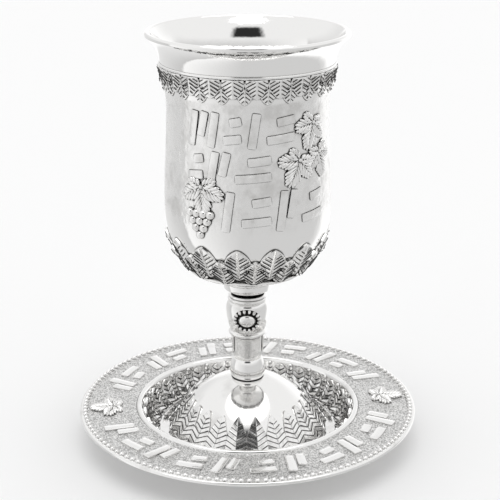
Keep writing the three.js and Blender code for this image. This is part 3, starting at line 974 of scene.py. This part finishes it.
# %% [markdown]
# ## The saucer
# The saucer is one casting: a flat polished floor that the foot stands in, a steep well with
# leaves up its side, a plain rolled ring, a broad stippled rim, a row of fine beads, and a rolled
# edge. It is cast thin, so the well shows from below too.

# %% Turn the saucer
FLOOR = 1.4
WELL_FOOT = 33.3
RING_INNER, RING_OUTER = 40.0, 42.3
RIM_TOP = 11.2
RIM_METAL = 1.3
BEAD_RADIUS = 61.6
BASE_RADIUS = 31.5
well_line = curve((RING_INNER, RIM_TOP), (37.8, 2.6), end=(WELL_FOOT, FLOOR), steps=24)
saucer_outline = [
    (0, FLOOR),
    (WELL_FOOT - 0.6, FLOOR),
    *well_line[::-1],
    *curve((RING_INNER + 0.1, RIM_TOP + 0.15), (RING_INNER + 0.35, RIM_TOP + 0.85), end=(41.15, RIM_TOP + 0.85), steps=5),
    *curve((41.3, RIM_TOP + 0.85), (RING_OUTER - 0.25, RIM_TOP + 0.8), end=(RING_OUTER, RIM_TOP - 0.1), steps=5),
    (RING_OUTER + 0.1, RIM_TOP - 0.25),
    (BEAD_RADIUS - 1.1, RIM_TOP - 0.25),
    (BEAD_RADIUS - 0.9, RIM_TOP + 0.05),
    (BEAD_RADIUS + 0.45, RIM_TOP + 0.05),
    *curve((BEAD_RADIUS + 0.6, RIM_TOP + 0.25), (SAUCER_EDGE - 0.05, RIM_TOP + 0.35), end=(SAUCER_EDGE, RIM_TOP - 0.4), steps=8),
    *curve((SAUCER_EDGE - 0.05, RIM_TOP - 0.8), (SAUCER_EDGE - 0.4, RIM_TOP - RIM_METAL), end=(BEAD_RADIUS, RIM_TOP - RIM_METAL), steps=6),
    *curve((RING_OUTER + 0.4, RIM_TOP - RIM_METAL), (40.0, 9.2), end=(39.6, 7.4), steps=5),
    *curve((39.3, 6.4), (38.0, 1.6), end=(BASE_RADIUS + 1.2, 0.15), steps=10),
    (BASE_RADIUS, 0),
    (0, 0),
]
saucer_body = turned("saucer_body", saucer_outline)
well_side = Wall(well_line)
print(f"saucer: {len(saucer_body.data.polygons)} faces")

# %% [markdown]
# The well's leaves stand tip up, and its wall is measured from the ring down, so the row is turned
# half round before it is laid. Narrow leaves with a round bud at the tip stand between the broad
# ones.

# %% Stand the leaves round the well
WELL_LEAVES = 28
well_root = well_side.at_height(FLOOR + 0.25)
broad_long = well_root - well_side.at_height(10.3)
narrow_long = well_root - well_side.at_height(10.7)
well_spread = well_side.radius(well_side.at_height(7.0))
broad_leaf = leaf(
    "broad_leaf", leaf_edge(2.75, broad_long, 0.85, 0.6, 0.7), 5,
    slope=36, groove=0.3, rib=0.1, deep=0.5, edge=0.45, crown=0.7,
)
broad_row = strip_of(broad_leaf, WELL_LEAVES, well_spread)
narrow_leaf = leaf(
    "narrow_leaf", leaf_edge(1.35, narrow_long, 0.9, 0.5, 0.5), 6,
    slope=34, groove=0.3, rib=0.1, deep=0.35, edge=0.3, crown=0.4,
)
narrow_row = strip_of(narrow_leaf, WELL_LEAVES, well_spread, 0.5)
bud = added("uv_sphere", "bud", segments=10, ring_count=6, radius=0.75, location=(0, narrow_long - 0.5, 0.45))
bud_row = strip_of(bud, WELL_LEAVES, well_spread, 0.5)
well_leaves = joined("well_leaves", [broad_row, narrow_row, bud_row])
rotated(math.pi)
laid_on(well_side, well_leaves, well_spread, well_root)
print(f"well leaves: {len(well_leaves.data.polygons)} faces")

# %% [markdown]
# The rim's ground is punched all over with a fine matting tool. It is a ring of its own here, so
# that only it needs a dense mesh: its top is cut into cells of about 0.4 mm and pushed up and down
# by a cell texture. The pits are real, and the grain inside them is left to the finish.

# %% Turn and stipple the rim's ground
GROUND_INNER, GROUND_OUTER = RING_OUTER + 0.05, BEAD_RADIUS - 0.95
GROUND_ROWS = 46
GROUND_STEPS = 800
ground_line = [
    (GROUND_INNER + (GROUND_OUTER - GROUND_INNER) * row / GROUND_ROWS, RIM_TOP) for row in range(GROUND_ROWS + 1)
]
rim_ground = turned(
    "rim_ground",
    [*ground_line, (GROUND_OUTER, RIM_TOP - 0.5), (GROUND_INNER, RIM_TOP - 0.5)],
    GROUND_STEPS, closed=True,
)
top = rim_ground.vertex_groups.new(name="top")
top.add([corner.index for corner in rim_ground.data.vertices if corner.co.z > RIM_TOP - 0.1], 1.0, "REPLACE")
matting = bpy.data.textures.new("matting", "VORONOI")
matting.noise_scale = 0.85
matting.distance_metric = "DISTANCE"
modified(
    rim_ground, "DISPLACE", texture=matting, texture_coords="LOCAL", direction="Z",
    vertex_group="top", strength=0.30, mid_level=0.5,
)
print(f"stippled ground: {len(rim_ground.data.polygons)} faces")

# %% [markdown]
# ## What stands on the rim
# 140 beads run round inside the edge. Two arcs of strokes stand for the words, front and back, and
# a vine leaf lies between them on each side.

# %% Lay beads, strokes and vine leaves on the rim
BEADS = 140
BEAD_SIZE = 1.95
RIM_CELLS = 11
RIM_SPAN = 150
STROKE_LOW, STROKE_HIGH = 46.4, 57.2
rim_side = Wall([(BEAD_RADIUS + 0.8, RIM_TOP), (BEAD_RADIUS, RIM_TOP), (RING_OUTER, RIM_TOP)])
bead = added("ico_sphere", "bead", subdivisions=2, radius=BEAD_SIZE / 2, location=(0, 0, 0.2))
rim_beads = strip_of(bead, BEADS, BEAD_RADIUS)
rim_beads.name = "rim_beads"
laid_on(rim_side, rim_beads, BEAD_RADIUS, rim_side.run[1])

words_radius = (STROKE_LOW + STROKE_HIGH) / 2
words_start = float(rim_side.run[1]) + BEAD_RADIUS - words_radius


def rim_script():
    strokes = []
    pitch = math.radians(RIM_SPAN / RIM_CELLS) * words_radius
    half_tall = (STROKE_HIGH - STROKE_LOW) / 2
    for side in (0, 1):
        for cell in range(RIM_CELLS):
            middle = side * math.pi * words_radius + (cell - (RIM_CELLS - 1) / 2) * pitch
            half = 0.36 * pitch
            strokes += cell_strokes(-half_tall, half_tall, middle - half, middle + half, cell % 2 == 1, 3.2, 0.6)
    return joined("rim_strokes", strokes)


rim_strokes = laid_on(rim_side, rim_script(), words_radius, words_start)

rim_vines = []
for side in (-1, 1):
    one = copied(vine_pattern)
    scaled(0.95, 0.95, 1)
    rim_vines.append(put(one, math.pi, side * math.pi / 2 * words_radius, 1.4))
rim_vines = laid_on(rim_side, joined("rim_vine_leaves", rim_vines), words_radius, words_start)
bpy.data.objects.remove(vine_pattern)
print(f"beads: {BEADS}, strokes: {len(rim_strokes.data.polygons)} faces")
# %% [markdown]
# ## Finish and assemble
# Each piece is brought down to its real size, shaded smooth between its sharp edges, and given
# its metal. The turned pieces stand for the four CAD castings, and the ornament rides with them.

# %% Bring the pieces to size, and give them their metal
mirror_silver = polished_silver("mirror_silver")
clouded_silver = bowl_silver("clouded_silver")
carved_silver = relief_silver("carved_silver")
matted_silver = stippled_silver("matted_silver")
SHARP = math.radians(35)


def finished(piece, metal, stands_for=None):
    alone(piece)
    bpy.ops.object.transform_apply(location=True, rotation=True, scale=True)
    with bench(piece, "VERT"):
        pick_all()
        scaled(MM, MM, MM)
    bpy.ops.object.shade_smooth_by_angle(angle=SHARP)
    piece.data.materials.clear()
    piece.data.materials.append(metal)
    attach(piece, "root")
    if stands_for:
        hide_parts(stands_for)
    triangles = sum(len(face.vertices) - 2 for face in piece.data.polygons)
    print(f"{piece.name}: {triangles} triangles")
    return piece


finished(bowl_wall, clouded_silver, "bowl")
finished(upper_leaf_band, carved_silver)
finished(lower_leaf_band, carved_silver)
finished(bowl_vines, carved_silver)
finished(grapes, carved_silver)
finished(bowl_strokes, clouded_silver)
finished(stem_body, mirror_silver, "stem")
finished(shaft_panels, carved_silver)
finished(knop_medallions, carved_silver)
finished(foot_dome, mirror_silver, "foot")
finished(foot_leaves, carved_silver)
finished(saucer_body, mirror_silver, "saucer")
finished(well_leaves, carved_silver)
finished(rim_ground, matted_silver)
finished(rim_beads, carved_silver)
finished(rim_strokes, mirror_silver)
finished(rim_vines, carved_silver)

# %% [markdown]
# ## The studio
# Polished silver is lit by what it mirrors. So the studio is drawn as a ring of light and grey
# round the cup: white behind it, a white screen on its left whose edge shows as a sharp upright
# line in the wall, soft grey on the right and in front, and one dark place high in front, as where
# a lens looks over a white table. Mirrors don't see the floor, so the ring goes on below it.

# %% Floor and light
CAMERA_SIDE = math.radians(-5.7)
RING_OF_LIGHT = [
    (-180, 1.15), (-168, 1.10), (-160, 0.82), (-128, 0.74), (-106, 0.66), (-97, 0.62),
    (-92, 1.02), (-60, 0.88), (-32, 0.76), (-8, 0.66), (108, 0.66), (118, 0.78), (128, 1.10), (180, 1.15),
]
BRIGHTEST = 1.2

floor = added("plane", "floor", size=6)
floor_material, floor_wire, floor_shader = new_material("pale_floor")
floor_shader.inputs["Metallic"].default_value = 0
floor_shader.inputs["Base Color"].default_value = (0.93, 0.93, 0.93, 1)
floor_shader.inputs["Roughness"].default_value = 0.9
floor.data.materials.append(floor_material)
floor.visible_glossy = False

world = bpy.data.worlds.new("studio")
bpy.context.scene.world = world
world.use_nodes = True
sky = Wire(world.node_tree)
east, north, up = (sky.node("SeparateXYZ", values={"Vector": sky.node("TexCoord")}, output=part) for part in range(3))
to_lens = math.sin(CAMERA_SIDE) * east - math.cos(CAMERA_SIDE) * north
to_right = math.cos(CAMERA_SIDE) * east + math.sin(CAMERA_SIDE) * north
turn = to_right.maths("ARCTAN2", to_right, to_lens) * (0.5 / math.pi) + 0.5
ring = turn.node(
    "ValToRGB", {"stops": [(0.5 + angle / 360, light / BRIGHTEST) for angle, light in RING_OF_LIGHT]}, {0: turn}
)
dark = turn.between(0.42, 0.45) * (1 - turn.between(0.55, 0.58)) * up.between(0.42, 0.52) * (1 - up.between(0.8, 0.87))
overhead = up.between(0.1, 0.5)
around = (ring * BRIGHTEST) * (1 - overhead) + 0.92 * overhead
strength = around * (1 - 0.97 * dark)
world.node_tree.links.new(strength.socket, world.node_tree.nodes["Background"].inputs["Strength"])
world.node_tree.nodes["Background"].inputs["Color"].default_value = (1, 1, 1, 1)

bpy.ops.object.light_add(type="SUN", rotation=(0, 0, 0))
lamp = bpy.context.object
lamp.name = "soft_light"
lamp.data.angle = math.radians(55)
lamp.data.energy = 0.6

# %% Camera
CAMERA_PLACE = (-0.0442, -0.4426, 0.2262)
CAMERA_TURN = (math.radians(90 - 19.07), 0, math.radians(-5.7))
bpy.ops.object.camera_add(location=CAMERA_PLACE, rotation=CAMERA_TURN)
camera = bpy.context.object
camera.data.lens = 92.4
camera.data.shift_x = 0.005
camera.data.clip_start = 0.01
bpy.context.scene.camera = camera
bpy.context.scene.view_settings.view_transform = "Standard"
